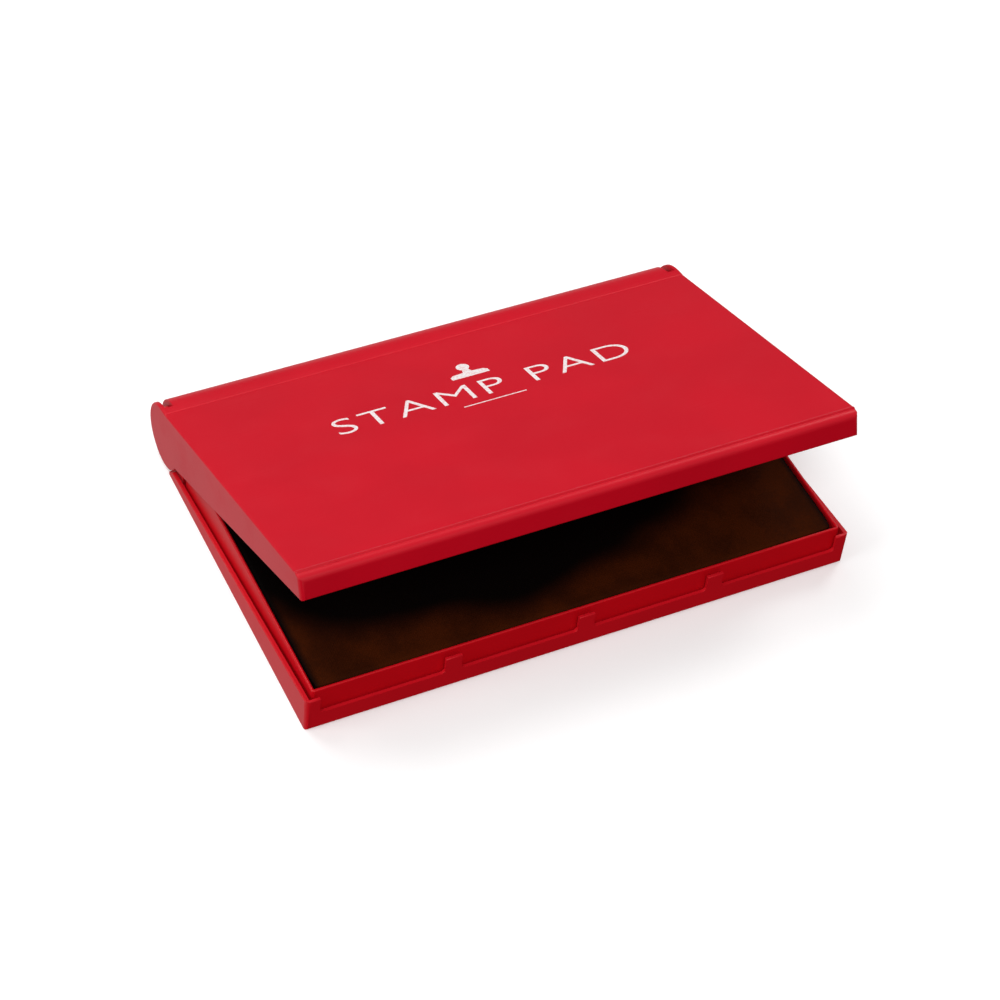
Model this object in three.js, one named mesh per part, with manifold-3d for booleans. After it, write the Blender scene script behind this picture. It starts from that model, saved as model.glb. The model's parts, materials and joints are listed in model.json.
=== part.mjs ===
// Hinged stamp ink pad: a moulded plastic case with a lid that stands ajar over an ink-soaked cloth pad.
// Units are millimetres, +Z is up, -Y is the opening side, and the hinge runs along X at the back.
// The origin is under the middle of the case, on the surface that it rests on.
import * as THREE from 'three';
import { mergeVertices } from 'three/addons/utils/BufferGeometryUtils.js';
import Module from 'manifold-3d';

const wasm = await Module();
wasm.setup();

// ---- driving dimensions ----
const LENGTH = 120;               // over the two side cheeks of the lid
const HINGE_FROM_FRONT = 76.1;    // front face to hinge axis
const SPINE_RADIUS = 7.3;         // rolled back of the lid, round the hinge axis
const TABLE_CLEARANCE = 0.3;      // the rolled back stays this far off the table in every position
const LID_OPEN_DEG = 18.8;        // how far the lid stands open
const GAP = 0.3;                  // clearance between neighbouring pieces

const LID_WALL = 1.2;             // top panel and rolled back
const SKIRT_WALL = 0.9;           // front lip of the lid, outer wall of the base and both cheeks
const PARTING_Z = 8.6;            // top of the base's outer wall at the front corners
const PARTING_SLOPE = 0.09;       // the side parting line falls towards the back by this much per mm
const PARTING_GAP = 0.35;         // vertical gap along the parting line with the lid shut
const CORNER_RADIUS = 1.2;        // vertical front corners in plan

const LIP_SETBACK = 1.9;          // raised line across the top, measured from the front face
const LIP_RIDGE = 0.15;           // height of the raised line over the panel
const LIP_RIDGE_WIDTH = 0.5;
const LIP_STEP = 0.35;            // drop in front of the raised line
const SHOULDER_RADIUS = 1.6;      // rounded shoulder of the front lip
const SPINE_END_ANGLE = -70;      // where the rolled back stops, in degrees under the horizontal

const EAR_THICKNESS = 1.3;        // hinge ears of the base
const EAR_RADIUS = 6.0;
const NOTCH_DEPTH = 1.5;          // the notch over each ear starts this far in front of the axis
const SPINE_DISC = 1.5;           // end wall of the rolled back, which holds the pin
const PIN_RADIUS = 1.0;
const PIN_LENGTH = 6.2;
const PIN_PRESS_GAP = 0.04;       // round the pin in the end wall of the lid
const PIN_RUN_GAP = 0.09;         // round the pin in the ear

const FLOOR = 1.2;                // base floor
const BASE_DEPTH = 68.3;          // front face to the back of the base
const PLINTH_Z = 4.6;             // lower band across the front, under the four grip windows
const CORNER_POST = 3.0;          // width of the front corner posts
const POST_WIDTH = 3.5;           // three posts between the windows
const POST_SPACING = 28.9;

const RIM_Z = 9.8;                // top of the inner tray
const RIM_WALL = 1.2;             // at the foot of the tray's wall
const TRAY_DRAFT = 0.6;           // how far the outside of the wall leans in on its way up to the rim
const TRAY_FLOOR = 1.0;
const BOARD_THICKNESS = 1.2;      // backing board under the felt
const CLOTH_TOP = 9.4;
const CLOTH_THICKNESS = 0.8;
const CLOTH_CORNER = 1.4;
const ARC_STEPS = 24;             // segments in each rounded stretch
const PIN_STEPS = 48;

// ---- derived values ----
const HALF = LENGTH / 2;
const DEPTH = HINGE_FROM_FRONT + SPINE_RADIUS;
const FRONT_Y = -DEPTH / 2;
const HINGE_Y = FRONT_Y + HINGE_FROM_FRONT;
const HINGE_Z = SPINE_RADIUS + TABLE_CLEARANCE;
const CHEEK_INNER = HALF - SKIRT_WALL;
const EAR_OUTER = CHEEK_INNER - GAP;
const EAR_INNER = EAR_OUTER - EAR_THICKNESS;
const SPINE_HALF = EAR_INNER - GAP;
const TRAY_INSET = SKIRT_WALL + GAP;
const TRAY_HALF = HALF - TRAY_INSET;
const TRAY_FRONT = FRONT_Y + TRAY_INSET;
const TRAY_BACK = FRONT_Y + BASE_DEPTH - TRAY_INSET;
const TRAY_BOTTOM = FLOOR + GAP;
const PAD_HALF = TRAY_HALF - RIM_WALL - GAP;
const PAD_FRONT = TRAY_FRONT + RIM_WALL + GAP;
const PAD_BACK = TRAY_BACK - RIM_WALL - GAP;
const BOARD_BOTTOM = TRAY_BOTTOM + TRAY_FLOOR + GAP;
const FELT_BOTTOM = BOARD_BOTTOM + BOARD_THICKNESS + GAP;
const FELT_TOP = CLOTH_TOP - CLOTH_THICKNESS - GAP;
const FELT_INSET = CLOTH_THICKNESS + GAP;
const LID_EDGE_FRONT = PARTING_Z + PARTING_GAP - HINGE_Z;
const TALL = 50;                  // taller than anything, for trimming in plan

// ---- materials ----
const red = (color, roughness) => new THREE.MeshStandardMaterial({ color, roughness, metalness: 0 });
const lidRed = red(0xc8182a, 0.36);
const baseRed = red(0xa80f1d, 0.38);
const trayRed = red(0xac0c18, 0.34);
const boardGrey = red(0x8c8577, 0.9);
const feltDark = red(0x20120c, 0.95);
const clothDark = red(0x22120b, 0.8);
const pinSteel = new THREE.MeshStandardMaterial({ color: 0xb9bcc0, roughness: 0.3, metalness: 1 });

// ---- solids ----
function toSolid(geometry) {
  const bare = geometry.clone();
  bare.deleteAttribute('normal');
  bare.deleteAttribute('uv');
  const merged = mergeVertices(bare, 1e-5);
  return new wasm.Manifold(new wasm.Mesh({
    numProp: 3,
    vertProperties: new Float32Array(merged.attributes.position.array),
    triVerts: new Uint32Array(merged.index.array),
  }));
}

function toMesh(name, solid, material) {
  const mesh = solid.getMesh();
  const geometry = new THREE.BufferGeometry();
  geometry.setAttribute('position', new THREE.BufferAttribute(new Float32Array(mesh.vertProperties), 3));
  geometry.setIndex(new THREE.BufferAttribute(new Uint32Array(mesh.triVerts), 1));
  geometry.computeVertexNormals();
  const piece = new THREE.Mesh(geometry, material);
  piece.name = name;
  return piece;
}

const join = (solids) => solids.reduce((whole, solid) => whole.add(solid));

// A side profile in (y, z), carried along X from x0 to x1.
function profileAlongX(shape, x0, x1) {
  const geometry = new THREE.ExtrudeGeometry(shape, {
    depth: x1 - x0, bevelEnabled: false, curveSegments: ARC_STEPS,
  });
  const turn = new THREE.Matrix4().makeBasis(
    new THREE.Vector3(0, 1, 0), new THREE.Vector3(0, 0, 1), new THREE.Vector3(1, 0, 0));
  return toSolid(geometry.applyMatrix4(turn).translate(x0, 0, 0));
}

// The same profile on the left and on the right, between two distances from the middle.
const onBothSides = (shape, inner, outer) =>
  profileAlongX(shape, -outer, -inner).add(profileAlongX(shape, inner, outer));

// A plan outline in (x, y), raised from z0 to z1.
function planRaised(shape, z0, z1) {
  const geometry = new THREE.ExtrudeGeometry(shape, {
    depth: z1 - z0, bevelEnabled: false, curveSegments: ARC_STEPS / 4,
  });
  return toSolid(geometry.translate(0, 0, z0));
}

function block(x0, x1, y0, y1, z0, z1) {
  const geometry = new THREE.BoxGeometry(x1 - x0, y1 - y0, z1 - z0);
  return toSolid(geometry.translate((x0 + x1) / 2, (y0 + y1) / 2, (z0 + z1) / 2));
}

function polygon(points) {
  return new THREE.Shape(points.map(([x, y]) => new THREE.Vector2(x, y)));
}

// A rectangle in plan with its front corners, and if asked its back corners, rounded.
function roundedPlan(half, front, back, radius, backRadius = radius) {
  const shape = new THREE.Shape();
  shape.moveTo(-half + radius, front);
  shape.lineTo(half - radius, front);
  shape.absarc(half - radius, front + radius, radius, -Math.PI / 2, 0, false);
  if (backRadius > 0) {
    shape.absarc(half - backRadius, back - backRadius, backRadius, 0, Math.PI / 2, false);
    shape.absarc(-half + backRadius, back - backRadius, backRadius, Math.PI / 2, Math.PI, false);
  } else {
    shape.lineTo(half, back);
    shape.lineTo(-half, back);
  }
  shape.absarc(-half + radius, front + radius, radius, Math.PI, Math.PI * 1.5, false);
  return shape;
}

// ---- the lid, drawn shut, in (y, z) from the hinge axis ----
const LID_FRONT = -HINGE_FROM_FRONT;
const lidEdgeAt = (y) => LID_EDGE_FRONT - PARTING_SLOPE * (y - LID_FRONT);

// From the lower front edge up over the shoulder, the step and the raised line, to the top of the roll.
function traceLidFrontAndTop(shape, lowerEdge) {
  const stepZ = SPINE_RADIUS - LIP_STEP;
  const ridgeZ = SPINE_RADIUS + LIP_RIDGE;
  const ridgeY = LID_FRONT + LIP_SETBACK;
  shape.moveTo(LID_FRONT, lowerEdge);
  shape.lineTo(LID_FRONT, stepZ - SHOULDER_RADIUS);
  shape.absarc(LID_FRONT + SHOULDER_RADIUS, stepZ - SHOULDER_RADIUS, SHOULDER_RADIUS,
    Math.PI, Math.PI / 2, true);
  shape.lineTo(ridgeY - LIP_RIDGE_WIDTH, stepZ);
  shape.lineTo(ridgeY - LIP_RIDGE_WIDTH / 2, ridgeZ);
  shape.lineTo(ridgeY, ridgeZ);
  shape.lineTo(ridgeY + LIP_RIDGE_WIDTH, SPINE_RADIUS);
}

function lidMiddleProfile() {
  const shape = new THREE.Shape();
  const inner = SPINE_RADIUS - LID_WALL;
  const end = THREE.MathUtils.degToRad(SPINE_END_ANGLE);
  traceLidFrontAndTop(shape, LID_EDGE_FRONT);
  shape.lineTo(0, SPINE_RADIUS);
  shape.absarc(0, 0, SPINE_RADIUS, Math.PI / 2, end, true);
  shape.lineTo(inner * Math.cos(end), inner * Math.sin(end));
  shape.absarc(0, 0, inner, end, Math.PI / 2, false);
  shape.lineTo(LID_FRONT + SKIRT_WALL, inner);
  shape.lineTo(LID_FRONT + SKIRT_WALL, LID_EDGE_FRONT);
  return shape;
}

function lidPanelOverEarProfile() {
  const shape = new THREE.Shape();
  const inner = SPINE_RADIUS - LID_WALL;
  traceLidFrontAndTop(shape, LID_EDGE_FRONT);
  shape.lineTo(-NOTCH_DEPTH, SPINE_RADIUS);
  shape.lineTo(-NOTCH_DEPTH, inner);
  shape.lineTo(LID_FRONT + SKIRT_WALL, inner);
  shape.lineTo(LID_FRONT + SKIRT_WALL, LID_EDGE_FRONT);
  return shape;
}

// The cheek's straight lower edge meets the rolled end where  y^2 + (slope*y + level)^2 = radius^2.
function cheekOutline() {
  const shape = new THREE.Shape();
  const level = lidEdgeAt(0);
  const a = 1 + PARTING_SLOPE ** 2;
  const b = -2 * PARTING_SLOPE * level;
  const c = level ** 2 - SPINE_RADIUS ** 2;
  const meetY = (-b - Math.sqrt(b * b - 4 * a * c)) / (2 * a);
  const meetAngle = Math.atan2(lidEdgeAt(meetY), meetY);
  traceLidFrontAndTop(shape, LID_EDGE_FRONT);
  shape.lineTo(0, SPINE_RADIUS);
  shape.absarc(0, 0, SPINE_RADIUS, Math.PI / 2, meetAngle, true);
  return shape;
}

function disc(radius) {
  const shape = new THREE.Shape();
  shape.absarc(0, 0, radius, 0, Math.PI * 2, false);
  return shape;
}

function pinRod(radius, x0, x1) {
  const geometry = new THREE.CylinderGeometry(radius, radius, x1 - x0, PIN_STEPS);
  return toSolid(geometry.rotateZ(Math.PI / 2).translate((x0 + x1) / 2, 0, 0));
}

function lidShell() {
  const body = join([
    profileAlongX(lidMiddleProfile(), -SPINE_HALF, SPINE_HALF),
    onBothSides(lidPanelOverEarProfile(), SPINE_HALF, CHEEK_INNER),
    onBothSides(cheekOutline(), CHEEK_INNER, HALF),
    onBothSides(disc(SPINE_RADIUS), SPINE_HALF - SPINE_DISC, SPINE_HALF),
  ]);
  const bore = PIN_RADIUS + PIN_PRESS_GAP;
  const plan = roundedPlan(HALF, LID_FRONT, SPINE_RADIUS + 1, CORNER_RADIUS, 0);
  return body
    .subtract(pinRod(bore, -SPINE_HALF - 0.1, -SPINE_HALF + SPINE_DISC + 0.1))
    .subtract(pinRod(bore, SPINE_HALF - SPINE_DISC - 0.1, SPINE_HALF + 0.1))
    .intersect(planRaised(plan, -TALL, TALL));
}

function hingePin(side) {
  const outer = CHEEK_INNER - GAP;
  const rod = pinRod(PIN_RADIUS, outer - PIN_LENGTH, outer);
  return side > 0 ? rod : rod.mirror([1, 0, 0]);
}

// ---- the base ----
const baseTopAt = (y) => PARTING_Z - PARTING_SLOPE * (y - FRONT_Y);

// Outer side wall: its top follows the parting line, and its tail is cut round the lid's rolled end.
function sideWallOutline() {
  const tail = HINGE_Y - SPINE_RADIUS * 0.7;
  return polygon([[FRONT_Y, 0], [tail, 0], [tail, baseTopAt(tail)], [FRONT_Y, PARTING_Z]]);
}

function earOutline() {
  const back = FRONT_Y + BASE_DEPTH - SKIRT_WALL;
  const shape = new THREE.Shape();
  shape.moveTo(back, 0);
  shape.lineTo(HINGE_Y - EAR_RADIUS / 2, 0);
  shape.lineTo(HINGE_Y + EAR_RADIUS * Math.SQRT1_2, HINGE_Z - EAR_RADIUS * Math.SQRT1_2);
  shape.absarc(HINGE_Y, HINGE_Z, EAR_RADIUS, -Math.PI / 4, Math.PI * 0.75, false);
  shape.lineTo(back, PARTING_Z);
  return shape;
}

function frontPosts() {
  const posts = [-1, 0, 1].map((place) => {
    const middle = place * POST_SPACING;
    return [middle - POST_WIDTH / 2, middle + POST_WIDTH / 2];
  });
  posts.push([-HALF, -HALF + CORNER_POST], [HALF - CORNER_POST, HALF]);
  return posts.map(([x0, x1]) => block(x0, x1, FRONT_Y, FRONT_Y + SKIRT_WALL, 0, PARTING_Z));
}

function baseShell() {
  const back = FRONT_Y + BASE_DEPTH;
  const body = join([
    block(-HALF, HALF, FRONT_Y, back, 0, FLOOR),
    block(-HALF, HALF, FRONT_Y, FRONT_Y + SKIRT_WALL, 0, PLINTH_Z),
    ...frontPosts(),
    onBothSides(sideWallOutline(), CHEEK_INNER, HALF),
    block(-EAR_OUTER, EAR_OUTER, back - SKIRT_WALL, back, 0, PARTING_Z),
    onBothSides(earOutline(), EAR_INNER, EAR_OUTER),
  ]);
  const earHole = pinRod(PIN_RADIUS + PIN_RUN_GAP, -HALF, HALF).translate([0, HINGE_Y, HINGE_Z]);
  const rollClearance = onBothSides(disc(SPINE_RADIUS + PARTING_GAP), CHEEK_INNER, HALF + 1)
    .translate([0, HINGE_Y, HINGE_Z]);
  const plan = roundedPlan(HALF, FRONT_Y, -FRONT_Y, CORNER_RADIUS, 0);
  return body.subtract(earHole).subtract(rollClearance).intersect(planRaised(plan, -1, TALL));
}

// ---- the tray and the pad that sits in it ----
function padTray() {
  const plan = (inset) =>
    roundedPlan(TRAY_HALF - inset, TRAY_FRONT + inset, TRAY_BACK - inset, CORNER_RADIUS);
  const outside = wasm.Manifold.hull([
    planRaised(plan(0), TRAY_BOTTOM, TRAY_BOTTOM + TRAY_FLOOR),
    planRaised(plan(TRAY_DRAFT), RIM_Z - TRAY_DRAFT, RIM_Z),
  ]);
  const inside = planRaised(
    roundedPlan(TRAY_HALF - RIM_WALL, TRAY_FRONT + RIM_WALL, TRAY_BACK - RIM_WALL, CORNER_RADIUS),
    TRAY_BOTTOM + TRAY_FLOOR, TALL);
  return outside.subtract(inside);
}

const padPlan = (inset) =>
  roundedPlan(PAD_HALF - inset, PAD_FRONT + inset, PAD_BACK - inset, CLOTH_CORNER);

const backingBoard = () => planRaised(padPlan(0), BOARD_BOTTOM, BOARD_BOTTOM + BOARD_THICKNESS);
const inkFelt = () => planRaised(padPlan(FELT_INSET), FELT_BOTTOM, FELT_TOP);

// The cloth is a cap: a top and four short sides over the felt.
function padCloth() {
  const outside = planRaised(padPlan(0), FELT_BOTTOM, CLOTH_TOP);
  const inside = planRaised(padPlan(CLOTH_THICKNESS), FELT_BOTTOM - 1, CLOTH_TOP - CLOTH_THICKNESS);
  return outside.subtract(inside);
}

// ---- assembly ----
const group = new THREE.Group();
group.add(
  toMesh('base_shell', baseShell(), baseRed),
  toMesh('pad_tray', padTray(), trayRed),
  toMesh('backing_board', backingBoard(), boardGrey),
  toMesh('ink_felt', inkFelt(), feltDark),
  toMesh('pad_cloth', padCloth(), clothDark),
);

const lid = new THREE.Group();
lid.position.set(0, HINGE_Y, HINGE_Z);
lid.rotation.x = -THREE.MathUtils.degToRad(LID_OPEN_DEG);
lid.add(
  toMesh('lid_shell', lidShell(), lidRed),
  toMesh('hinge_pin_left', hingePin(-1), pinSteel),
  toMesh('hinge_pin_right', hingePin(1), pinSteel),
);
group.add(lid);

export default group;
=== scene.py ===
# %% [markdown]
# # A hinged stamp ink pad
# A red moulded case stands half open over a black pad soaked with ink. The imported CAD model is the
# frame: it says where the hinge is, how far the lid stands open and how big everything is. This
# script builds the surfaces that are seen around that frame, and gives each of them its finish.

# %% Load the frame
import json
import math

import bmesh
import bpy
import numpy as np
from mathutils import Matrix, Vector


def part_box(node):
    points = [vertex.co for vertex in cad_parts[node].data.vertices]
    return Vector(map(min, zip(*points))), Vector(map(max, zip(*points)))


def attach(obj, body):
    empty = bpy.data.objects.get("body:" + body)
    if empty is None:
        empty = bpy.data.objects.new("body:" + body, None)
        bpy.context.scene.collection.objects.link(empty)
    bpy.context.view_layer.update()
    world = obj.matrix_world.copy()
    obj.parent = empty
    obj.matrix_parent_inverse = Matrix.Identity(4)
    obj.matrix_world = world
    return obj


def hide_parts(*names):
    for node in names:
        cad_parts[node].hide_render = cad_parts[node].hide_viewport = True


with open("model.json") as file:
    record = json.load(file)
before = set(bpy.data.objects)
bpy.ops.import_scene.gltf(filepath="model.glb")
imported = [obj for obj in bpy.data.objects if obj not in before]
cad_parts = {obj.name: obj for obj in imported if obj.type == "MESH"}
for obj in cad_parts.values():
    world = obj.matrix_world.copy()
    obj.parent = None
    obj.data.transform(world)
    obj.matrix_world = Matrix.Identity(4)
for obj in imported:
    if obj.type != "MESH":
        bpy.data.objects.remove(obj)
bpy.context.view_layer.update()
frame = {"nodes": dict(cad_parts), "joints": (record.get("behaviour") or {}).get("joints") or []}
MM = 0.001

# %% [markdown]
# ## Where things are
# The case is measured off the CAD nodes. All side outlines are drawn in (y, z) in a vertical plane
# across the hinge, so the lid's are measured from the hinge axis, with the lid shut. The lid is then
# turned to where it stands, by the angle that the hinge's own range gives.

# %% Places and sizes from the frame
hinge = frame["joints"][0]
HINGE_Y, HINGE_Z = hinge["pos_m"][1:]
LID_ANGLE = math.radians(-hinge["range_deg"][0])
base_low, base_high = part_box("base_shell")
tray_low, tray_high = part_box("pad_tray")
cloth_low, cloth_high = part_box("pad_cloth")
lid_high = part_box("lid_shell")[1]
HALF = base_high.x
FRONT = base_low.y
ROLL = lid_high.y - HINGE_Y
LID_FRONT = FRONT - HINGE_Y
print(f"case {2 * HALF / MM:.1f} mm long, hinge {(HINGE_Y - FRONT) / MM:.1f} mm behind the front, "
      f"lid open {math.degrees(LID_ANGLE):.1f} degrees")

# %% [markdown]
# ## Camera, floor and light
# The camera looks down on the pad from the front left, a little rolled, with a long lens so that
# the case's edges stay nearly parallel. Plastic shows its shape by what it mirrors, so the light
# comes from four big soft panels. The one behind the case draws the line of light along the spine and
# along the fine ridge at the front, the ones at the right and the left fill the top and the cheek,
# and the one in front keeps the lip and the grip windows from going black.
#
# The floor is a backdrop: the camera sees it and it catches the shadow, but it throws no white back
# on the plastic, because the deep red of the front faces would turn pink.

# %% Camera
AIM = Vector((0.9, -0.9, 0.5)) * MM
AZIMUTH = math.radians(-30.45)
ELEVATION = math.radians(47.1)
ROLL_OF_CAMERA = math.radians(6.9)
DISTANCE = 600.7 * MM


def camera_axes(azimuth, elevation, roll):
    """Right, up and back vectors: azimuth turns about Z, elevation tips up, roll turns about the view."""
    back = Vector((math.sin(azimuth) * math.cos(elevation),
                   -math.cos(azimuth) * math.cos(elevation), math.sin(elevation)))
    level = Vector((math.cos(azimuth), math.sin(azimuth), 0.0))
    steep = back.cross(level)
    right = level * math.cos(roll) + steep * math.sin(roll)
    up = steep * math.cos(roll) - level * math.sin(roll)
    return right, up, back


right, up, back = camera_axes(AZIMUTH, ELEVATION, ROLL_OF_CAMERA)
camera_data = bpy.data.cameras.new("camera")
camera_data.sensor_width = 36
camera_data.lens = 104.3
camera_data.clip_start = 0.01
camera = bpy.data.objects.new("camera", camera_data)
turned = Matrix((right, up, back)).transposed().to_4x4()
camera.matrix_world = Matrix.Translation(AIM + back * DISTANCE) @ turned
bpy.context.scene.collection.objects.link(camera)
bpy.context.scene.camera = camera
print("camera at", [round(value, 3) for value in camera.matrix_world.translation])


# %% Soft panels
def soft_panel(name, place, size, watts):
    """A square area light at place, turned to face the middle of the case."""
    data = bpy.data.lights.new(name, "AREA")
    data.shape = "SQUARE"
    data.size = size
    data.energy = watts
    panel = bpy.data.objects.new(name, data)
    panel.location = place
    panel.rotation_euler = (-Vector(place)).to_track_quat("-Z", "Y").to_euler()
    bpy.context.scene.collection.objects.link(panel)
    print(f"{name}: {size} m wide, {watts} W, {Vector(place).length:.2f} m away")


soft_panel("panel_behind", (-0.25, 0.80, 1.00), 0.8, 7.0)
soft_panel("panel_right", (0.95, 0.62, 1.05), 0.5, 5.0)
soft_panel("panel_left", (-0.95, 0.00, 0.45), 0.6, 4.6)
soft_panel("panel_front", (-0.28, -0.75, 1.05), 0.5, 7.2)
bpy.context.scene.view_settings.view_transform = "Standard"

# %% Floor
FLOOR_HALF = 3.0
FLOOR_LEVEL = -0.05 * MM
corners = [(x * FLOOR_HALF, y * FLOOR_HALF, FLOOR_LEVEL) for x, y in ((-1, -1), (1, -1), (1, 1), (-1, 1))]
floor_mesh = bpy.data.meshes.new("floor")
floor_mesh.from_pydata(corners, [], [(0, 1, 2, 3)])
floor = bpy.data.objects.new("floor", floor_mesh)
bpy.context.scene.collection.objects.link(floor)
floor.visible_diffuse = False
floor.visible_glossy = False
print(f"floor: {2 * FLOOR_HALF} m square")

# %% [markdown]
# ## Shader arithmetic
# A finish could be wired up by hand in the Shader Editor, one Math node at a time. Here it is written
# as arithmetic on patterns, because a formula is easier to read and to change. `Wire` holds one output
# socket; adding, taking away, multiplying and dividing wires adds Math nodes, and `node` adds any
# other node.


# %% A wire in a material
class Wire:
    """One output socket of a material's nodes, with arithmetic."""

    def __init__(self, tree, socket=None):
        self.tree = tree
        self.socket = socket

    def node(self, kind, settings=None, inputs=None, out=0):
        """Adds a node: settings first, then a value or a wire for each named socket."""
        made = self.tree.nodes.new(kind)
        for key, value in (settings or {}).items():
            setattr(made, key, value)
        for key, value in (inputs or {}).items():
            if isinstance(value, Wire):
                self.tree.links.new(value.socket, made.inputs[key])
            else:
                made.inputs[key].default_value = value
        return Wire(self.tree, made.outputs[out])

    def math(self, operation, *values):
        """A Math node with that operation on the values, each of them a wire or a number."""
        return self.node("ShaderNodeMath", {"operation": operation}, dict(enumerate(values)))

    def __add__(self, other):
        return self.math("ADD", self, other)

    def __sub__(self, other):
        return self.math("SUBTRACT", self, other)

    def __rsub__(self, other):
        return self.math("SUBTRACT", other, self)

    def __mul__(self, other):
        return self.math("MULTIPLY", self, other)

    def __truediv__(self, other):
        return self.math("DIVIDE", self, other)

    def __rtruediv__(self, other):
        return self.math("DIVIDE", other, self)

    __radd__ = __add__
    __rmul__ = __mul__

    def smooth(self, low, high):
        """0 below low, 1 above high, with a smooth S between."""
        return self.node("ShaderNodeMapRange", {"interpolation_type": "SMOOTHSTEP"},
                         {"Value": self, "From Min": low, "From Max": high})

    def mix(self, first, second):
        """A colour that goes from first to second as this wire goes from 0 to 1."""
        return self.node("ShaderNodeMix", {"data_type": "RGBA"},
                         {"Factor": self, 6: first, 7: second}, out=2)


def new_finish(name):
    """A material, its Principled shader node, and a wire with the place on the object in metres."""
    finish = bpy.data.materials.new(name)
    finish.use_nodes = True
    shader = finish.node_tree.nodes["Principled BSDF"]
    start = Wire(finish.node_tree)
    place = start.node("ShaderNodeTexCoord", out="Object")
    return finish, shader, place


def feed(shader, name, wire):
    """Plugs the wire into the shader's socket of that name."""
    wire.tree.links.new(wire.socket, shader.inputs[name])


def noise(place, size, detail, stretch=(1.0, 1.0, 1.0)):
    """Cloudy noise with blobs of about that size, in metres, drawn out along the axes by stretch."""
    scaled = place.node("ShaderNodeVectorMath", {"operation": "MULTIPLY"},
                        {0: place, 1: tuple(1.0 / value for value in stretch)})
    return place.node("ShaderNodeTexNoise", None,
                      {"Vector": scaled, "Scale": 1.0 / size, "Detail": detail}, out="Fac")


def bump(shader, height, depth, strength):
    """Feeds Normal with a Bump node: height runs from 0 to 1 over depth metres."""
    feed(shader, "Normal", height.node("ShaderNodeBump", None,
                                       {"Height": height, "Distance": depth, "Strength": strength}))

# %% [markdown]
# The rest of the studio is a dim room: light enough overhead to soften every shadow, and darker
# towards the horizon, because that is the part of the room that the sloping lid mirrors. Below the
# horizon it stands in for what the floor would send up: a bright table at the left and behind, which
# the cheek mirrors at a glancing angle, and a deep red in front, like the glow of the case itself.

# %% The room around
world = bpy.data.worlds.new("studio")
world.use_nodes = True
BELOW_FRONT = (0.34, 0.02, 0.03, 1.0)
BELOW_LEFT = (0.52, 0.52, 0.52, 1.0)
HORIZON = (0.06, 0.06, 0.06, 1.0)
OVERHEAD = (0.30, 0.30, 0.30, 1.0)
LEFT_AND_BEHIND = (-0.5, 0.86, 0.0)
sky = Wire(world.node_tree).node("ShaderNodeTexCoord", out="Generated")
height_of_sky = sky.node("ShaderNodeSeparateXYZ", None, {"Vector": sky}, out="Z")
leftness = sky.node("ShaderNodeVectorMath", {"operation": "DOT_PRODUCT"},
                    {0: sky, 1: LEFT_AND_BEHIND}, out="Value")
below = leftness.smooth(-0.1, 0.5).mix(BELOW_FRONT, BELOW_LEFT)
above = height_of_sky.smooth(0.15, 0.8).mix(HORIZON, OVERHEAD)
glow = height_of_sky.smooth(-0.05, 0.02).mix(below, above)
world.node_tree.links.new(glow.socket, world.node_tree.nodes["Background"].inputs["Color"])
bpy.context.scene.world = world
print("room:", len(world.node_tree.nodes), "nodes")

# %% [markdown]
# ## The finishes
# The case is satin polystyrene: one deep red right through, a faint cloudiness from the way it flowed
# into the mould, a fine grain that breaks up its shine, and hairline scratches from handling. A painted
# texture could carry all of that, but it would need an unwrapped surface and would blur close up. Noise
# that is worked out from the place on the piece has no seams and stays sharp.


# %% Moulded red plastic
def moulded_plastic(name, colour, roughness, scratches=0.5, shine=0.27):
    """Red plastic: cloudy colour, grainy roughness, hairline scratches, and a fine orange-peel bump."""
    finish, shader, place = new_finish(name)
    darker = tuple(0.97 * value for value in colour) + (1.0,)
    lighter = tuple(1.03 * value for value in colour) + (1.0,)
    clouds = noise(place, 22 * MM, 2.0).smooth(0.3, 0.7)
    feed(shader, "Base Color", clouds.mix(darker, lighter))
    grain = noise(place, 0.35 * MM, 2.0)
    smudges = noise(place, 9 * MM, 3.0).smooth(0.45, 0.75)
    hairs = noise(place, 0.5 * MM, 1.0, stretch=(30.0, 1.2, 1.2)).smooth(0.70, 0.74)
    rough = roughness + 0.05 * grain + 0.05 * smudges + 0.10 * scratches * hairs
    feed(shader, "Roughness", rough)
    bump(shader, grain - 0.25 * scratches * hairs, 0.012 * MM, 0.35)
    shader.inputs["Specular IOR Level"].default_value = shine
    return finish


# One red in three copies with painted light: the base's and the tray's are lighter than the lid's to make up
# for the lid's shade over them, and the tray's is more saturated, standing in for red light bounced inside
# the case.
lid_finish = moulded_plastic("lid_red", (0.56, 0.0020, 0.014), 0.34)
base_finish = moulded_plastic("base_red", (0.61, 0.0060, 0.015), 0.36, shine=0.20)
tray_finish = moulded_plastic("tray_red", (0.60, 0.0025, 0.009), 0.32, scratches=0.2)
print("plastics:", lid_finish.name, base_finish.name, tray_finish.name)
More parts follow.
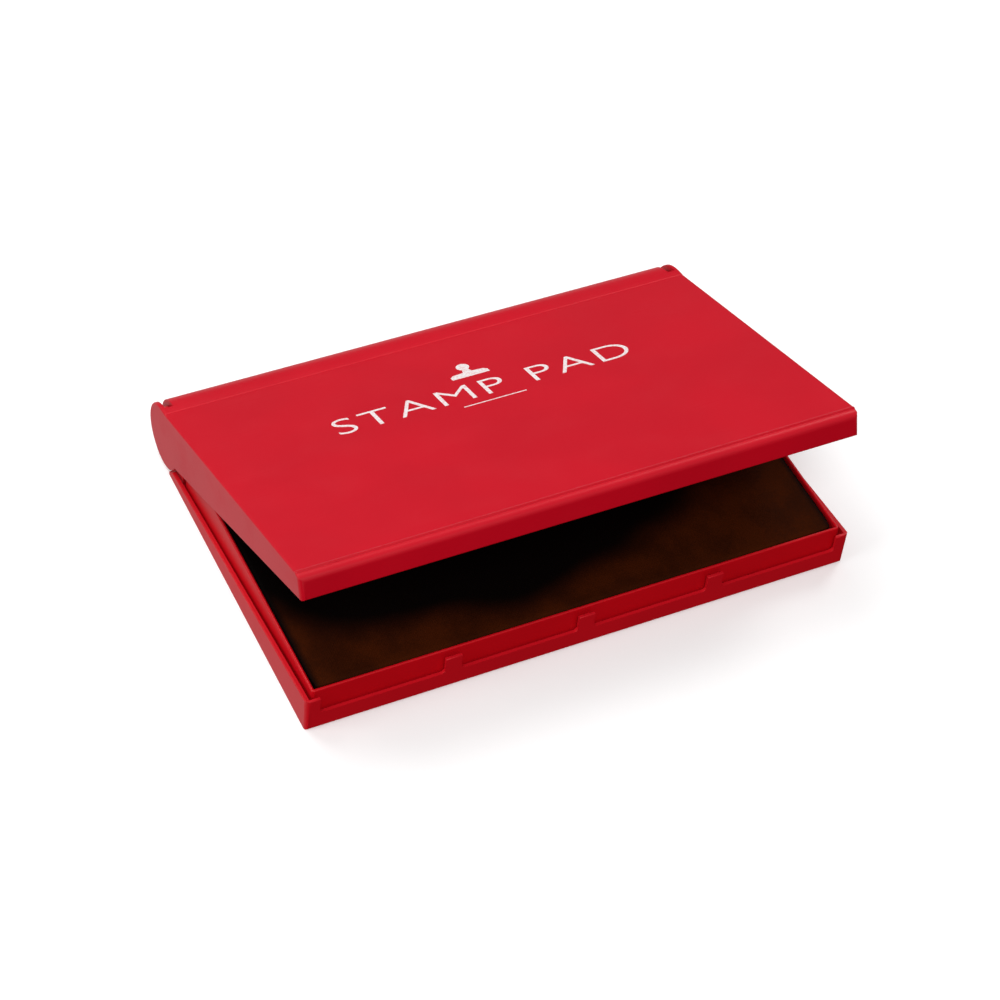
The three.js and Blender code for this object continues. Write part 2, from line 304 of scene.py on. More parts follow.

# %% [markdown]
# The pad's cover is a close plain weave, wet through with dark ink. Its colour carries painted shade: black
# in the middle, where the lid's shadow falls, and in a strip along the left and right ends by the rim, and
# brown towards the front and its two corners, where the light reaches, along an uneven edge drawn as a
# wobbling ellipse, with random patches. The threads could be modelled one by one, but there are some forty
# thousand crossings, so the weave is a bump, drawn from two combs of threads that take turns on top: a
# checkerboard says which one is above, and each thread is round across its own width.


# %% Ink-soaked cloth
def soaked_cloth(name, pitch):
    """Plain weave with that thread pitch in metres, with painted shade: black in the middle and at the ends,
    brown where light reaches.
    """
    finish, shader, place = new_finish(name)
    split = place.node("ShaderNodeSeparateXYZ", None, {"Vector": place})
    along = Wire(split.tree, split.socket.node.outputs["X"])
    across = Wire(split.tree, split.socket.node.outputs["Y"])
    wave_x = along.math("SINE", along * (math.pi / pitch))
    wave_y = across.math("SINE", across * (math.pi / pitch))
    turn = (wave_x * wave_y).smooth(-0.12, 0.12)
    thread_x = wave_x.math("ABSOLUTE", wave_x)
    thread_y = wave_y.math("ABSOLUTE", wave_y)
    weave = turn * thread_x + (1.0 - turn) * thread_y
    # Painted shade and light: black under the lid's shadow and by the rim at both ends, brown towards the
    # front where light reaches; patches and specks vary it at random.
    patches = noise(place, 9 * MM, 3.0)
    shadow_edge_wobble = noise(place, 34 * MM, 2.0)
    specks = noise(place, 0.6 * MM, 2.0)
    reach_x = (along + 8 * MM) / (56 * MM)
    reach_y = (across - FRONT - 40 * MM) / (31.5 * MM)
    reach = along.math("SQRT", reach_x * reach_x + reach_y * reach_y)
    round_the_middle = (reach + 0.4 * (shadow_edge_wobble - 0.5)).smooth(0.90, 1.14)
    near_front = 1.0 - across.smooth(FRONT + 28 * MM, FRONT + 50 * MM)
    from_side = HALF - along.math("ABSOLUTE", along)
    off_the_edge = from_side.smooth(2.6 * MM, 4.6 * MM)
    uneven = (0.65 + 0.45 * patches.smooth(0.35, 0.7)) * (0.7 + 0.6 * specks)
    light_and_patches = round_the_middle * near_front * off_the_edge * uneven
    # Black is the painted shade, brown the painted light.
    feed(shader, "Base Color", light_and_patches.mix((0.0012, 0.0003, 0.0001, 1.0), (0.048, 0.0078, 0.0003, 1.0)))
    feed(shader, "Roughness", 0.62 + 0.22 * light_and_patches)
    bump(shader, weave + 0.3 * specks, 0.07 * MM, 0.6)
    shader.inputs["Specular IOR Level"].default_value = 0.05
    return finish


cloth_finish = soaked_cloth("ink_cloth", 0.42 * MM)
print("cloth:", len(cloth_finish.node_tree.nodes), "nodes")

# %% [markdown]
# What is inside is hidden while the pad is whole, but it is there when the pieces are looked at one
# by one: a grey board, the felt that holds the ink, and two drawn steel pins. They are the frame's own
# bodies and only need a finish.


# %% Board, felt and steel
def fibrous(name, dark, light, fibre, roughness, depth):
    """A felted or pressed sheet: long noise fibres in two directions, mixed light and dark."""
    finish, shader, place = new_finish(name)
    fibres = 0.5 * noise(place, fibre, 3.0, (6.0, 1.0, 1.0)) + 0.5 * noise(place, fibre, 3.0, (1.0, 6.0, 1.0))
    feed(shader, "Base Color", fibres.smooth(0.35, 0.65).mix(dark, light))
    feed(shader, "Roughness", roughness + 0.1 * fibres)
    bump(shader, fibres, depth, 0.8)
    return finish


def drawn_steel(name):
    """Bright steel with fine lines along the pin from drawing."""
    finish, shader, place = new_finish(name)
    lines = noise(place, 0.15 * MM, 2.0, (40.0, 1.0, 1.0))
    feed(shader, "Base Color", lines.mix((0.50, 0.51, 0.53, 1.0), (0.64, 0.65, 0.67, 1.0)))
    feed(shader, "Roughness", 0.22 + 0.16 * lines)
    shader.inputs["Metallic"].default_value = 1.0
    return finish


board_finish = fibrous("greyboard", (0.20, 0.175, 0.14, 1.0), (0.33, 0.30, 0.25, 1.0),
                       0.5 * MM, 0.8, 0.05 * MM)
felt_finish = fibrous("ink_felt", (0.006, 0.0025, 0.0015, 1.0), (0.022, 0.009, 0.005, 1.0),
                      0.3 * MM, 0.85, 0.2 * MM)
steel_finish = drawn_steel("pin_steel")
for node_name, finish in (("backing_board", board_finish), ("ink_felt", felt_finish),
                          ("hinge_pin_left", steel_finish), ("hinge_pin_right", steel_finish)):
    frame["nodes"][node_name].material_slots[0].material = finish
    print(node_name, "is", finish.name)

# %% [markdown]
# Two finishes are left. The print on the lid is a thin white ink, pressed on with a soft pad, so it is
# patchy. It could be one flat white, but then it would look like a sticker. The floor is a nearly even
# off-white, and it glows a little, so that it stays white where the panels don't reach.


# %% Print ink and floor
def printed_ink(name):
    """White pad-printed ink that is thin in places, so the red below warms it."""
    finish, shader, place = new_finish(name)
    thin = noise(place, 0.5 * MM, 3.0).smooth(0.40, 0.66)
    feed(shader, "Base Color", thin.mix((0.86, 0.83, 0.83, 1.0), (0.80, 0.55, 0.56, 1.0)))
    feed(shader, "Roughness", 0.42 + 0.15 * thin)
    return finish


print_finish = printed_ink("white_print")
floor_finish, floor_shader, floor_place = new_finish("floor")
floor_clouds = noise(floor_place, 0.4, 2.0)
feed(floor_shader, "Base Color", floor_clouds.mix((0.90, 0.90, 0.90, 1.0), (0.92, 0.92, 0.92, 1.0)))
floor_shader.inputs["Roughness"].default_value = 0.9
floor_shader.inputs["Emission Color"].default_value = (1.0, 1.0, 1.0, 1.0)
floor_shader.inputs["Emission Strength"].default_value = 0.2
floor.data.materials.append(floor_finish)
print("finishes:", sorted(material.name for material in bpy.data.materials))

# %% [markdown]
# ## Outlines
# A moulded shell is drawn like a workshop drawing: straight runs and arcs that flow into each other.
# Each run returns its points and, for every point, the direction that faces out of the plastic. The
# outward direction is what lets the ends of a swept body be rounded over.


# %% Straight runs, arcs and joined outlines
def straight(start, end):
    """The two ends of a straight run, facing right of the way it goes."""
    ends = np.array([start, end], float)
    way = (ends[1] - ends[0]) / np.linalg.norm(ends[1] - ends[0])
    return ends, np.array([[way[1], -way[0]]] * 2)


def arc(centre, radius, first_deg, last_deg, count):
    """Points centre + radius (cos a, sin a) for a from first to last, facing away from the centre."""
    a = np.radians(np.linspace(first_deg, last_deg, count))
    ray = np.stack([np.cos(a), np.sin(a)], axis=1)
    return np.array(centre, float) + radius * ray, ray


def outline(*runs):
    """Joins runs into one closed outline, leaving out a point that repeats the one before it."""
    points = np.concatenate([run[0] for run in runs])
    facing = np.concatenate([run[1] for run in runs])
    step = np.linalg.norm(points - np.roll(points, 1, axis=0), axis=1)
    keep = step > 1e-7
    return points[keep], facing[keep]

# %% [markdown]
# ## Swept bodies
# The case has the same side outline from one end to the other, so its parts are swept bodies, which
# carry an outline along X. Stretched and bevelled cubes could be used, but each curve of the outline
# would then be a guess instead of an arc. Near each end the outline shrinks along a quarter circle, so
# the end is rounded over: at angle a of the quarter circle the outline has shrunk by
# r (1 - sin a), at a distance of r (1 - cos a) from the end. A radius of nothing leaves a square end,
# which is what a cutting tool wants.


# %% Swept bodies
def make_object(name, points, faces):
    """A new object from an array of points and lists of point numbers."""
    mesh = bpy.data.meshes.new(name)
    mesh.from_pydata(points.tolist(), [], faces)
    mesh.validate()
    made = bpy.data.objects.new(name, mesh)
    bpy.context.scene.collection.objects.link(made)
    return made


def ring_faces(rings, count):
    """Quads between each ring of points and the next, as index sums, and one face on each end."""
    ring, step = np.meshgrid(np.arange(rings - 1), np.arange(count), indexing="ij")
    after = (step + 1) % count
    quads = np.stack([ring * count + step, ring * count + after,
                      (ring + 1) * count + after, (ring + 1) * count + step], axis=-1)
    faces = quads.reshape(-1, 4).tolist()
    faces.append(list(range(count))[::-1])
    faces.append(list(range((rings - 1) * count, rings * count)))
    return faces


def swept(name, shape, x0, x1, radius=0.0):
    """The outline carried from x0 to x1, its ends rounded over by radius."""
    points, facing = shape
    quarter = np.linspace(0.0, math.pi / 2, 5) if radius > 0 else np.array([math.pi / 2])
    rings = []
    for end, sign, angles in ((x0, 1.0, quarter), (x1, -1.0, quarter[::-1])):
        for a in angles:
            moved = points - facing * radius * (1.0 - math.sin(a))
            x = np.full((len(points), 1), end + sign * radius * (1.0 - math.cos(a)))
            rings.append(np.hstack([x, moved]))
    faces = ring_faces(len(rings), len(points))
    return make_object(name, np.concatenate(rings), faces)

# %% [markdown]
# ## Cutting, joining and softening
# A steel mould is cut with plain tools, and so are these bodies: each tool is a closed solid that a
# Boolean modifier takes away or joins on. Moulding never leaves a knife edge, so a narrow Bevel then
# breaks the sharp edges that the cuts left, and the Weighted Normal modifier keeps the flats flat
# beside it. Modifiers are applied on the way, because each cut needs the result of the last one.


# %% Booleans and soft edges
def combined(body, tools, operation):
    """body with each tool cut away or joined on; the tools are used up."""
    for tool in tools:
        step = body.modifiers.new("step", "BOOLEAN")
        step.operation = operation
        step.object = tool
        step.solver = "EXACT"
    bpy.context.view_layer.update()
    depsgraph = bpy.context.evaluated_depsgraph_get()
    result = bpy.data.meshes.new_from_object(body.evaluated_get(depsgraph))
    body.modifiers.clear()
    body.data = result
    for tool in tools:
        bpy.data.objects.remove(tool)
    return body


def standing_solid(name, plan, low_z, high_z):
    """A closed solid that stands on an outline in (x, y), drawn anticlockwise."""
    plan = np.array(plan, float)
    low = np.hstack([plan, np.full((len(plan), 1), low_z)])
    rise = np.array([0.0, 0.0, high_z - low_z])
    return make_object(name, np.concatenate([low, low + rise]), ring_faces(2, len(plan)))


def corner_cutter(name, side, front, radius):
    """What lies outside a vertical quarter round at the left (-1) or right (+1) front corner."""
    past = 1.0 * MM
    quarter = arc((HALF - radius, front + radius), radius, 0, -90, 10)[0].tolist()
    plan = np.array(quarter + [(HALF - radius, front - past), (HALF + past, front - past),
                               (HALF + past, front + radius)])
    if side < 0:
        plan = plan[::-1] * np.array([-1.0, 1.0])
    return standing_solid(name, plan, -100 * MM, 100 * MM)


def shade(body, sharp_deg):
    """Shades rounds smooth, and leaves every edge that turns by more than sharp_deg sharp."""
    body.data.polygons.foreach_set("use_smooth", [True] * len(body.data.polygons))
    body.data.set_sharp_from_angle(angle=math.radians(sharp_deg))


def keep_flats(body):
    """Lets the large flat faces decide the shading along their edges."""
    weights = body.modifiers.new("flat_flats", "WEIGHTED_NORMAL")
    weights.keep_sharp = True


WELD_REACH = 0.004 * MM


def weld(mesh):
    """Merges points closer than WELD_REACH, which takes out the slivers that cuts leave."""
    work = bmesh.new()
    work.from_mesh(mesh)
    bmesh.ops.remove_doubles(work, verts=work.verts, dist=WELD_REACH)
    bmesh.ops.dissolve_degenerate(work, dist=WELD_REACH, edges=work.edges)
    work.to_mesh(mesh)
    work.free()


SOFT_EDGE = 0.1 * MM
CUT_EDGE_DEG = 50.0


def soften(body):
    """Breaks the sharp edges that cutting left, and shades the flats flat and the rounds round."""
    weld(body.data)
    edge = body.modifiers.new("broken_edges", "BEVEL")
    edge.width = SOFT_EDGE
    edge.segments = 2
    edge.limit_method = "ANGLE"
    edge.angle_limit = math.radians(CUT_EDGE_DEG)
    edge.use_clamp_overlap = True
    depsgraph = bpy.context.evaluated_depsgraph_get()
    result = bpy.data.meshes.new_from_object(body.evaluated_get(depsgraph))
    body.modifiers.clear()
    body.data = result
    shade(body, 32.0)
    keep_flats(body)
    return body


# %% Hand a piece over
def finished(body, rides_on, node_name, finish):
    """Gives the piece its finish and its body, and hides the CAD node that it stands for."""
    body.data.materials.clear()
    body.data.materials.append(finish)
    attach(body, rides_on)
    if node_name:
        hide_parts(node_name)
    low, high = np.array(body.bound_box).min(0) / MM, np.array(body.bound_box).max(0) / MM
    print(f"{body.name}: {len(body.data.polygons)} faces, {low.round(2)} to {high.round(2)} mm")

# %% [markdown]
# ## The lid
# The lid is one moulding. Its outside is drawn as if it were solid: lower edge, the roll round the
# hinge, a slightly domed band that runs on from it, the flat top, a fine raised line with a step in
# front of it, a rounded shoulder and the front lip. Then the hollow under the top, the space for each
# hinge ear and the pin holes are cut out of it, in the way that the steel core of a mould leaves them.
# A thin sheet with a Solidify modifier would be quicker, but it would give every wall one thickness,
# and it couldn't close the ends of the roll round the pins.

# %% Lid sizes
WALL = 1.2 * MM
SKIRT = 0.9 * MM
BAND = 3.3 * MM
BAND_DROP = 0.30 * MM
BAND_EDGE = 0.12 * MM
PANEL = ROLL - BAND_DROP - BAND_EDGE
RIDGE = 0.12 * MM
STEP = 0.22 * MM
LIP_SETBACK = 1.9 * MM
SHOULDER = 1.6 * MM
LID_EDGE = 8.95 * MM - HINGE_Z
PARTING_SLOPE = 0.09
CORNER = 0.4 * MM
FRONT_CORNER = 1.2 * MM
LID_END_ROUND = 0.38 * MM
print(f"top panel {(ROLL - PANEL) / MM:.2f} mm below the top of the roll, ridge {RIDGE / MM:.2f} mm high")


# %% Where the lid's lower edge meets the roll
def lid_edge_at(y):
    """Height of the cheek's straight lower edge, which falls towards the back."""
    return LID_EDGE - PARTING_SLOPE * (y - LID_FRONT)


def roll_meets_edge():
    """Where the lower edge meets the roll: y^2 + (level - slope y)^2 = radius^2, the front root."""
    level = lid_edge_at(0.0)
    a = 1.0 + PARTING_SLOPE ** 2
    b = -2.0 * PARTING_SLOPE * level
    c = level ** 2 - ROLL ** 2
    y = (-b - math.sqrt(b * b - 4.0 * a * c)) / (2.0 * a)
    return y, lid_edge_at(y)


meet = roll_meets_edge()
meet_deg = math.degrees(math.atan2(meet[1], meet[0]))
slope_deg = math.degrees(math.atan(PARTING_SLOPE))
print("the roll meets the lower edge at", round(meet_deg, 1), "degrees")


# %% Lid outline
def facing_up(y, z):
    """A run through the points (y, z), which faces up all along."""
    return np.stack([y, z], axis=1), np.repeat([[0.0, 1.0]], len(y), axis=0)


def blend(y0, z0, y1, z1):
    """A soft step between two heights, half a cosine wave long."""
    t = np.linspace(0.0, 1.0, 9)
    return facing_up(y0 + (y1 - y0) * t, z0 + (z1 - z0) * (0.5 - 0.5 * np.cos(math.pi * t)))


def domed_band():
    """From the top of the roll forwards, falling by BAND_DROP with the square of the distance."""
    t = np.linspace(0.0, 1.0, 9)
    return facing_up(-BAND * t, ROLL - BAND_DROP * t ** 2)


ridge_y = LID_FRONT + LIP_SETBACK
lip_top = PANEL - STEP
lid_shape = outline(
    arc((LID_FRONT + CORNER, lid_edge_at(LID_FRONT + CORNER) + CORNER), CORNER, 180, 270 - slope_deg, 5),
    straight((LID_FRONT + 2 * CORNER, lid_edge_at(LID_FRONT + 2 * CORNER)), meet),
    arc((0.0, 0.0), ROLL, meet_deg, 90, 56),
    domed_band(),
    blend(-BAND, ROLL - BAND_DROP, -BAND - 0.4 * MM, PANEL),
    blend(ridge_y + 0.5 * MM, PANEL, ridge_y, PANEL + RIDGE),
    blend(ridge_y - 0.1 * MM, PANEL + RIDGE, ridge_y - 0.4 * MM, lip_top),
    arc((LID_FRONT + SHOULDER, lip_top - SHOULDER), SHOULDER, 90, 180, 12),
)
print("lid outline:", len(lid_shape[0]), "points")

# %% [markdown]
# The base's hinge ears stand inside the lid's cheeks, one in each end of the roll. So the hollow has
# three widths: the full width in front of the roll, a slot at each end for the ear, and the roll's own
# hollow, which is closed at each end by a thin disc.

# %% Shapes of the lid's hollow
CHEEK = HALF - SKIRT
EAR_GAP = 0.25 * MM
EAR = 1.3 * MM
ROLL_HALF = CHEEK - 2 * EAR_GAP - EAR
DISC = 1.5 * MM
ROLL_END_DEG = -70.0
NOTCH = 1.5 * MM
PIN_HOLE = 1.04 * MM
FAR = 60 * MM
inner_roll = ROLL - WALL
behind_lip = LID_FRONT + SKIRT
roll_end = np.array([math.cos(math.radians(ROLL_END_DEG)), math.sin(math.radians(ROLL_END_DEG))])
disc_top_deg = 180 - math.degrees(math.asin(inner_roll / ROLL))


def plain(points):
    """An outline with straight runs between the points, for cutting, where no edge is rounded."""
    points = np.array(points, float)
    return points, np.zeros_like(points)


hollow = plain([(behind_lip, -FAR), (roll_end * FAR).tolist()]
               + arc((0, 0), inner_roll, ROLL_END_DEG, 90, 40)[0].tolist() + [(behind_lip, inner_roll)])
before_disc = plain([(behind_lip, -FAR), (0.0, -FAR)]
                    + arc((0, 0), ROLL, 270, disc_top_deg, 40)[0].tolist() + [(behind_lip, inner_roll)])
ear_room = plain([(behind_lip, -FAR), (FAR, -FAR), (FAR, FAR), (-NOTCH, FAR), (-NOTCH, inner_roll),
                  (behind_lip, inner_roll)])
pin_hole = plain(arc((0, 0), PIN_HOLE, 0, 352.5, 48)[0])
print(f"cheek {(HALF - CHEEK) / MM:.2f} mm thick, slot for the ear {(CHEEK - ROLL_HALF) / MM:.2f} mm wide")

# %% Cut the lid
lid = swept("lid", lid_shape, -HALF, HALF, LID_END_ROUND)
cutters = [
    swept("cut_hollow", hollow, -ROLL_HALF + DISC, ROLL_HALF - DISC),
    swept("cut_before_disc", before_disc, -CHEEK, CHEEK),
    swept("cut_ear_left", ear_room, -CHEEK, -ROLL_HALF),
    swept("cut_ear_right", ear_room, ROLL_HALF, CHEEK),
    swept("cut_pins", pin_hole, -CHEEK, CHEEK),
    corner_cutter("cut_corner_left", -1, LID_FRONT, FRONT_CORNER),
    corner_cutter("cut_corner_right", 1, LID_FRONT, FRONT_CORNER),
]
lid = combined(lid, cutters, "DIFFERENCE")
print("lid after cutting:", len(lid.data.polygons), "faces")


# %% Turn the lid open
def lid_place():
    """Takes the shut lid, drawn from the hinge axis, to the frame: the front is raised by the lid's angle."""
    return Matrix.Translation((0.0, HINGE_Y, HINGE_Z)) @ Matrix.Rotation(-LID_ANGLE, 4, "X")


lid = soften(lid)
lid.data.transform(lid_place())
finished(lid, "lid", "lid_shell", lid_finish)

# %% [markdown]
# ## The base
# The base is drawn the same way: its side outline is a wedge that is tall in front and low at the
# back, because the lid's cheeks hang down further there. The inside is cut out, and so are the four
# grip windows between the front posts. The back wall and the two hinge ears are joined on.

# %% Base sizes
FLOOR = 1.2 * MM
PARTING = 8.6 * MM
PLINTH = 4.6 * MM
POST = 3.5 * MM
CORNER_POST = 3.0 * MM
POST_SPACING = 28.9 * MM
BACK = FRONT + 68.3 * MM
TAIL = HINGE_Y - 0.5 * ROLL
FOOT = 0.9 * MM
TOP_EDGE = 0.25 * MM
FRONT_WALL = 0.7 * MM
WINDOW_ROUND = 0.9 * MM
ROLL_GAP = 0.35 * MM
post_edges = [-HALF + CORNER_POST]
for middle in (-POST_SPACING, 0.0, POST_SPACING):
    post_edges += [middle - POST / 2, middle + POST / 2]
post_edges.append(HALF - CORNER_POST)
windows = list(zip(post_edges[::2], post_edges[1::2]))
print("grip windows:", [round((x1 - x0) / MM, 1) for x0, x1 in windows], "mm wide")


# %% Base outline and window shape
def base_top_at(y):
    """Height of the outer wall's top, which falls towards the back like the lid's lower edge."""
    return PARTING - PARTING_SLOPE * (y - FRONT)


def window_cutter(name, x0, x1):
    """A grip window through the front wall from x0 to x1, open at the top, its lower corners rounded."""
    level = PLINTH + WINDOW_ROUND
    left = arc((x0 + WINDOW_ROUND, level), WINDOW_ROUND, 180, 270, 8)[0]
    right = arc((x1 - WINDOW_ROUND, level), WINDOW_ROUND, 270, 360, 8)[0]
    shape = plain(left.tolist() + right.tolist() + [(x1, FAR), (x0, FAR)])
    cutter = swept(name, shape, -(FRONT + FRONT_WALL + 0.1 * MM), -(FRONT - FAR))
    cutter.data.transform(Matrix.Rotation(math.radians(-90.0), 4, "Z"))
    return cutter


base_shape = outline(
    arc((FRONT + FOOT, FOOT), FOOT, 180, 270, 8),
    arc((TAIL - 0.3 * MM, 0.3 * MM), 0.3 * MM, 270, 360, 5),
    straight((TAIL, 0.4 * MM), (TAIL, base_top_at(TAIL))),
    straight((TAIL, base_top_at(TAIL)), (FRONT + 2 * TOP_EDGE, base_top_at(FRONT + 2 * TOP_EDGE))),
    arc((FRONT + TOP_EDGE, base_top_at(FRONT) - TOP_EDGE), TOP_EDGE, 90, 180, 5),
)
print("base outline:", len(base_shape[0]), "points")

# %% Cut the base
base = swept("base", base_shape, -HALF, HALF, TOP_EDGE)
inside = plain([(FRONT + FRONT_WALL, FLOOR), (FAR, FLOOR), (FAR, FAR), (FRONT + FRONT_WALL, FAR)])
behind = plain([(BACK, -FAR), (FAR, -FAR), (FAR, FAR), (BACK, FAR)])
around_roll = plain(arc((HINGE_Y, HINGE_Z), ROLL + ROLL_GAP, 0, 354, 60)[0])
cutters = [swept("cut_inside", inside, -CHEEK, CHEEK), swept("cut_behind", behind, -CHEEK, CHEEK),
           swept("cut_roll", around_roll, -FAR * 2, FAR * 2)]
cutters += [window_cutter(f"cut_window_{number}", x0, x1) for number, (x0, x1) in enumerate(windows)]
cutters += [corner_cutter("cut_corner_left", -1, FRONT, FRONT_CORNER),
            corner_cutter("cut_corner_right", 1, FRONT, FRONT_CORNER)]
base = combined(base, cutters, "DIFFERENCE")
print("base after cutting:", len(base.data.polygons), "faces")

# %% [markdown]
# The back wall and the ears are solid tools too, joined on instead of cut away. Each ear rises from
# the floor, follows a circle round the hinge, and runs into the wall; the hole for the pin is drilled
# through both ears at the end, so that the two holes are in line.

# %% Back wall and hinge ears
EAR_RADIUS = 6.0 * MM
EAR_HOLE = 1.09 * MM
ear_low = math.sqrt(0.5) * EAR_RADIUS
back_wall = plain([(BACK - SKIRT, 0.2 * MM), (BACK, 0.2 * MM), (BACK, PARTING), (BACK - SKIRT, PARTING)])
ear_points = [(BACK - SKIRT / 2, 0.0), (HINGE_Y - EAR_RADIUS / 2, 0.0),
              (HINGE_Y + ear_low, HINGE_Z - ear_low)]
ear_points += arc((HINGE_Y, HINGE_Z), EAR_RADIUS, -40, 135, 40)[0].tolist()
ear_points.append((BACK - SKIRT / 2, PARTING))
ear_outer = CHEEK - EAR_GAP
ear_inner = ear_outer - EAR
additions = [
    swept("back_wall", back_wall, -ear_outer, ear_outer),
    swept("ear_left", plain(ear_points), -ear_outer, -ear_inner),
    swept("ear_right", plain(ear_points), ear_inner, ear_outer),
]
base = combined(base, additions, "UNION")
ear_hole = plain(arc((HINGE_Y, HINGE_Z), EAR_HOLE, 0, 352.5, 48)[0])
base = combined(base, [swept("cut_ear_hole", ear_hole, -CHEEK, CHEEK)], "DIFFERENCE")
base = soften(base)
finished(base, "base", "base_shell", base_finish)

# %% [markdown]
# ## The tray
# The pad sits in a shallow pan whose rim stands proud of the outer wall. It could be cut from a block,
# like the base, but its walls lean a little, so that it comes out of its mould, and its rim is rounded
# all the way. So it is a profile carried round a rounded rectangle: out from under the floor, up the
# outside, over the rounded rim and down the inside. The ring gives every wall its lean and its rim
# at once, corners too.


# %% Carry a profile round a rectangle
LEAST_CORNER = 0.15 * MM


def rounded_rectangle(half_x, y0, y1, radius):
    """Points round a rectangle with rounded corners, the same number for any size, anticlockwise."""
    centres = ((half_x - radius, y0 + radius, -90), (half_x - radius, y1 - radius, 0),
               (-half_x + radius, y1 - radius, 90), (-half_x + radius, y0 + radius, 180))
    return np.concatenate([arc((x, y), radius, start, start + 90, 8)[0] for x, y, start in centres])


def pan(name, low, high, profile, corner):
    """Carries a profile of (inset, height) round the rectangle between low and high."""
    rings = []
    for inset, z in profile:
        radius = max(corner - inset, LEAST_CORNER)
        plan = rounded_rectangle(high.x - inset, low.y + inset, high.y - inset, radius)
        rings.append(np.hstack([plan, np.full((len(plan), 1), z)]))
    return make_object(name, np.concatenate(rings), ring_faces(len(rings), len(rings[0])))


# %% Tray
RIM = 1.2 * MM
DRAFT = 0.5 * MM
RIM_ROUND = 0.34 * MM
TRAY_CORNER = 1.2 * MM
TRAY_GAP = 0.15 * MM
pan_floor = tray_low.z + 1.0 * MM
rim_top = tray_high.z
tray_low.y = FRONT + FRONT_WALL + TRAY_GAP
outer_round = arc((DRAFT + RIM_ROUND, rim_top - RIM_ROUND), RIM_ROUND, 176, 90, 7)[0]
inner_round = arc((RIM - RIM_ROUND, rim_top - RIM_ROUND), RIM_ROUND, 90, 0, 7)[0]
tray_profile = ([(0.25 * MM, tray_low.z), (0.0, tray_low.z + 0.25 * MM)] + outer_round.tolist()
                + inner_round.tolist() + [(RIM, pan_floor + 0.4 * MM), (RIM + 0.4 * MM, pan_floor)])
tray = pan("tray", tray_low, tray_high, tray_profile, TRAY_CORNER)
shade(tray, 40.0)
keep_flats(tray)
finished(tray, "base", "pad_tray", tray_finish)

# %% [markdown]
# ## The pad
# The cloth is stretched over a thick felt and turned down at the sides, so its edge is a soft
# shoulder, its middle is a little crowned, and it has faint hollows where it is wetter. It could be
# made by a cloth simulation, but cloth that is pulled tight has no folds to find, so a formula says
# all of its shape. The top is one height field over a grid; the shoulder falls like a quarter circle
# in the distance from the edge, and the corners are pulled in a little.


# %% Pad heights
CROWN = 0.3 * MM
HOLLOW = 0.035 * MM


def pad_grid(nx, ny):
    """A grid over the pad's plan, closer together towards the edges: x = half sin(pi s / 2)."""
    s = np.sin(np.linspace(-math.pi / 2, math.pi / 2, nx))
    t = np.sin(np.linspace(-math.pi / 2, math.pi / 2, ny))
    return np.meshgrid(s, t, indexing="ij")


def pad_heights(x, y, half_x, half_y, top, shoulder, corner):
    """Crown plus faint hollows, less a quarter-circle shoulder in the distance from the rounded edge."""
    qx = np.abs(x) - (half_x - corner)
    qy = np.abs(y) - (half_y - corner)
    outside = np.hypot(np.maximum(qx, 0.0), np.maximum(qy, 0.0)) + np.minimum(np.maximum(qx, qy), 0.0)
    inward = np.clip(corner - outside, 0.0, shoulder)
    fall = shoulder - np.sqrt(shoulder ** 2 - (shoulder - inward) ** 2)
    crown = CROWN * (1.0 - (x / half_x) ** 2) * (1.0 - (y / half_y) ** 2)
    hollows = HOLLOW * (np.sin(x / (9 * MM) + 1.3) * np.sin(y / (7 * MM))
                        + np.sin(x / (5 * MM)) * np.sin(y / (6 * MM) + 0.8))
    return top + crown + hollows - fall


# %% Pad top
NX = 181
NY = 101
SPREAD = 0.22 * MM
PAD_SHOULDER = 0.9 * MM
PAD_CORNER = 1.4 * MM
CORNER_PULL = 0.012
pad_half_x = cloth_high.x + SPREAD
pad_half_y = (cloth_high.y - cloth_low.y) / 2 + SPREAD
pad_middle_y = (cloth_high.y + cloth_low.y) / 2
s, t = pad_grid(NX, NY)
squeeze = 1.0 - CORNER_PULL * (s * t) ** 8
x = s * pad_half_x * squeeze
y = t * pad_half_y * squeeze
top = pad_heights(x, y, pad_half_x, pad_half_y, cloth_high.z - 0.1 * MM, PAD_SHOULDER, PAD_CORNER)
thickness = top.max() - cloth_low.z
print(f"pad {2 * pad_half_x / MM:.1f} x {2 * pad_half_y / MM:.1f} mm, {thickness / MM:.2f} mm thick")

# %% [markdown]
# The pad is closed like a box: the same grid, flattened, is its underside, and a band of faces round
# the rim joins the two.

# %% Pad
upper = np.stack([x, y + pad_middle_y, top], axis=-1).reshape(-1, 3)
lower = upper * np.array([1.0, 1.0, 0.0]) + np.array([0.0, 0.0, cloth_low.z])
number = np.arange(NX * NY).reshape(NX, NY)
cells = np.stack([number[:-1, :-1], number[1:, :-1], number[1:, 1:], number[:-1, 1:]], axis=-1).reshape(-1, 4)
edge = np.concatenate([number[:-1, 0], number[-1, :-1], number[:0:-1, -1], number[0, :0:-1]])
after = np.roll(edge, -1)
sides = np.stack([edge + NX * NY, after + NX * NY, after, edge], axis=-1)
faces = cells.tolist() + (cells[:, ::-1] + NX * NY).tolist() + sides.tolist()
pad = make_object("pad", np.concatenate([upper, lower]), faces)
shade(pad, 60.0)
finished(pad, "base", "pad_cloth", cloth_finish)

# %% [markdown]
# ## The print
# The lid carries a plain white print in the middle: the generic words for the thing, a thin rule under
# them, and a little stamp with a knob above them. Blender's own letters are made a mesh; the rule and
# the stamp are outlines. Each is given a hair of thickness and laid on the top panel, as real ink is.
# A white mask in the lid's finish could do the same, but its edges would be as coarse as its texture.


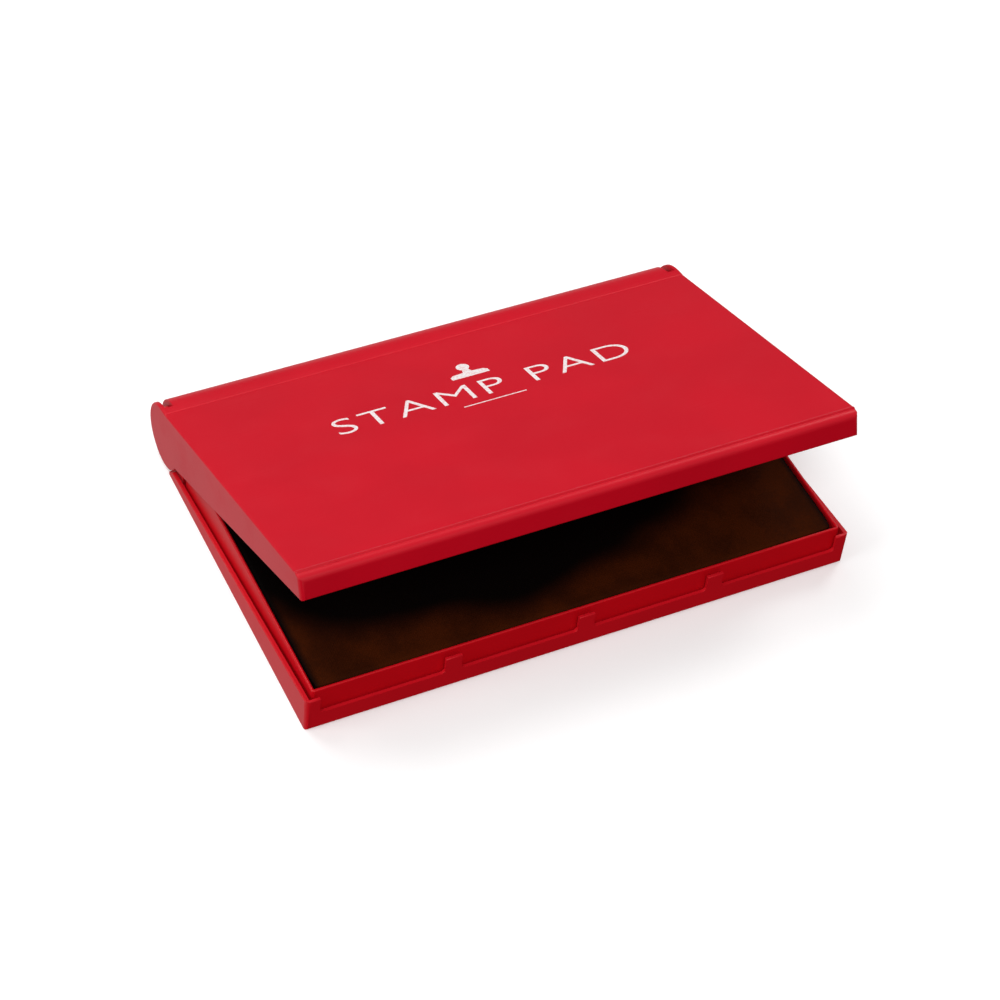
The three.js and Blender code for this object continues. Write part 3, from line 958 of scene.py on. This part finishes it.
# %% Letters
def plain_words(words, width, height):
    """Words in the built-in letters as flat polygons, centred, scaled to that width and height."""
    curve = bpy.data.curves.new("words", "FONT")
    curve.body = words
    curve.align_x = "CENTER"
    curve.resolution_u = 6
    curve.extrude = 0.5
    curve.space_character = 1.12
    curve.offset = -0.012
    carrier = bpy.data.objects.new("words", curve)
    bpy.context.scene.collection.objects.link(carrier)
    mesh = bpy.data.meshes.new_from_object(carrier.evaluated_get(bpy.context.evaluated_depsgraph_get()))
    bpy.data.objects.remove(carrier)
    points = np.array([vertex.co for vertex in mesh.vertices])
    low, high = points.min(0), points.max(0)
    points = (points - (low + high) / 2) / (high - low) * np.array([width, height, 1.0])
    mesh.vertices.foreach_set("co", points.ravel())
    return mesh


PRINT_WIDTH = 66 * MM
PRINT_HEIGHT = 6.4 * MM
words = plain_words("STAMP PAD", PRINT_WIDTH, PRINT_HEIGHT)
print("letters:", len(words.polygons), "faces")


# %% Rule and little stamp
def flat_shape(name, points):
    """An outline in (x, y) as a flat plate, one unit thick, the way that the letters come."""
    plate = standing_solid(name, points, -0.5, 0.5)
    mesh = plate.data
    bpy.data.objects.remove(plate)
    return mesh


RULE_HALF = 7 * MM
RULE_WIDTH = 0.3 * MM
rule = [(-RULE_HALF, -RULE_WIDTH / 2), (RULE_HALF, -RULE_WIDTH / 2),
        (RULE_HALF, RULE_WIDTH / 2), (-RULE_HALF, RULE_WIDTH / 2)]
block = np.array([(-4.2, 0.0), (4.2, 0.0), (4.2, 1.1), (3.5, 1.7), (1.0, 2.0), (0.7, 3.3)]) * MM
knob = arc((0.0, 4.4 * MM), 1.4 * MM, -50, 230, 24)[0]
left_slope = block[:1:-1] * np.array([-1.0, 1.0])
stamp = np.concatenate([block, knob, left_slope])
print("stamp outline:", len(stamp), "points")

# %% Lay the print on the lid
PRINT_THICKNESS = 0.03 * MM
PRINT_PLACE = Vector((0.6 * MM, LID_FRONT + 48.5 * MM, PANEL + PRINT_THICKNESS * 0.4))


def printed(name, mesh, up_the_lid=0.0):
    """Lays a print on the lid's top panel, that far behind the middle of the words."""
    mesh.transform(Matrix.Diagonal((1.0, 1.0, PRINT_THICKNESS, 1.0)))
    mesh.transform(Matrix.Translation(PRINT_PLACE + Vector((0.0, up_the_lid, 0.0))))
    mesh.transform(lid_place())
    label = bpy.data.objects.new(name, mesh)
    bpy.context.scene.collection.objects.link(label)
    finished(label, "lid", None, print_finish)


printed("print_words", words)
printed("print_rule", flat_shape("rule", rule), -5.6 * MM)
printed("print_stamp", flat_shape("stamp", stamp), 6.0 * MM)
